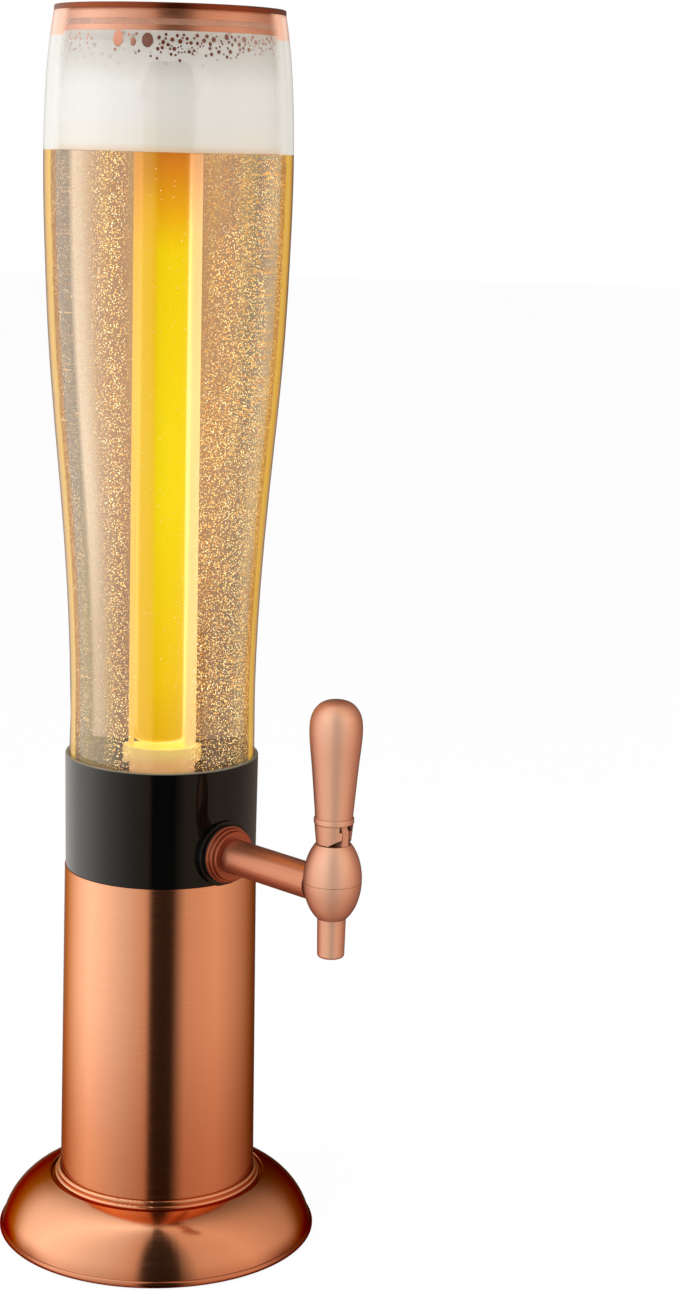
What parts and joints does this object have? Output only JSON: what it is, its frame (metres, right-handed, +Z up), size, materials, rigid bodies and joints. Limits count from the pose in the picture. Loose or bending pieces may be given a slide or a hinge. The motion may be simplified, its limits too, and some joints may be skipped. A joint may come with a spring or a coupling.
{
  "type": "beer tower dispenser",
  "caption": "Table-top beer tower: copper foot and column, black collar with a lever tap, clear flared vessel with an ice tube inside, lift-off lid.",
  "frame": {"origin": "centre of the foot pad's underside, on the surface that the tower stands on", "axes": "+Z up along the tower's axis, -Y towards the tap, +X to the right of someone who looks along +Y at the tap"},
  "size_m": [0.1608, 0.2186, 0.61],
  "materials": {
    "copper_spun": "satin copper plate on spun steel, fine turning lines",
    "copper_tap": "satin copper plate on cast brass",
    "copper_lid": "copper-plated moulding, satin",
    "black_gloss": "high-gloss black moulding",
    "black_matte": "plain black moulding",
    "vessel_clear": "clear moulded plastic",
    "ice_tube_clear": "clear moulded plastic",
    "ice_cap_frosted": "frosted moulded plastic",
    "seal_rubber": "food-grade silicone, black",
    "seal_clear": "food-grade silicone, translucent",
    "pad_foam": "non-slip foam pad",
    "steel": "bright zinc-plated steel",
    "cast_iron": "rough casting",
    "beer": "golden beer with fine gas bubbles",
    "foam": "fine beer foam"
  },
  "bodies": {
    "stand": {"foot_pad": "pad_foam", "base_plate": "steel", "base_screws": "steel", "ballast_weight": "cast_iron", "tie_rod": "steel", "tie_nuts": "steel", "foot_dome": "copper_spun", "trim_ring_lower": "copper_spun", "trim_ring_upper": "copper_spun", "column_tube": "copper_spun", "column_socket": "black_matte"},
    "tower": {"collar": "black_gloss", "vessel": "vessel_clear", "vessel_seal": "seal_clear", "outer_gasket": "seal_rubber", "inner_gasket": "seal_rubber", "tap_flange": "copper_tap", "tap_shank": "copper_tap", "shank_nut": "steel", "valve_chamber": "steel", "bonnet": "copper_tap", "stem_seal": "seal_rubber", "valve_spring": "steel", "bulb_lower_shell": "copper_tap", "bulb_upper_shell": "copper_tap", "spout": "copper_tap", "pivot_pin": "steel"},
    "handle": {"lever_hub": "black_matte", "ferrule": "copper_tap", "grip": "copper_tap", "grip_stud": "steel"},
    "valve_stem": {"stem": "steel", "seat_washer": "seal_rubber", "stem_pin": "steel"},
    "ice_core": {"ice_tube": "ice_tube_clear", "ice_tube_foot": "ice_cap_frosted"},
    "cap_liner": {"ice_cap_liner": "seal_clear"},
    "ice_cap": {"ice_cap": "ice_cap_frosted"},
    "lid": {"lid_disc": "copper_lid", "lid_plug": "copper_lid", "lid_seal": "seal_clear"}
  },
  "joints": [
    {"name": "tower_lift", "type": "slide", "parent": "stand", "child": "tower", "axis": [0, 0, 1], "range_m": [0, 0.04]},
    {"name": "lid_lift", "type": "slide", "parent": "tower", "child": "lid", "axis": [0, 0, 1], "range_m": [0, 0.08]},
    {"name": "ice_tube_lift", "type": "slide", "parent": "tower", "child": "ice_core", "axis": [0, 0, 1], "range_m": [0, 0.008]},
    {"name": "ice_cap_rise", "type": "slide", "parent": "ice_core", "child": "cap_liner", "axis": [0, 0, 1], "range_m": [0, 0.003]},
    {"name": "ice_cap_turn", "type": "hinge", "parent": "cap_liner", "child": "ice_cap", "pos_m": [0, 0, 0.572], "axis": [0, 0, 1], "range_deg": [0, 360]},
    {"name": "handle_tilt", "type": "hinge", "parent": "tower", "child": "handle", "pos_m": [0, -0.1295, 0.2387], "axis": [1, 0, 0], "range_deg": [0, 35], "stiffness_Nm_per_rad": 0.25, "springref_deg": -14.32},
    {"name": "stem_lift", "type": "slide", "parent": "tower", "child": "valve_stem", "axis": [0, 0, 1], "range_m": [0, 0.0035], "deforming": ["valve_spring"]}
  ],
  "couplings": [
    {"joint": "ice_cap_rise", "follows": "ice_cap_turn", "m_per_rad": 0.000477},
    {"joint": "stem_lift", "follows": "handle_tilt", "m_per_rad": 0.00555}
  ]
}
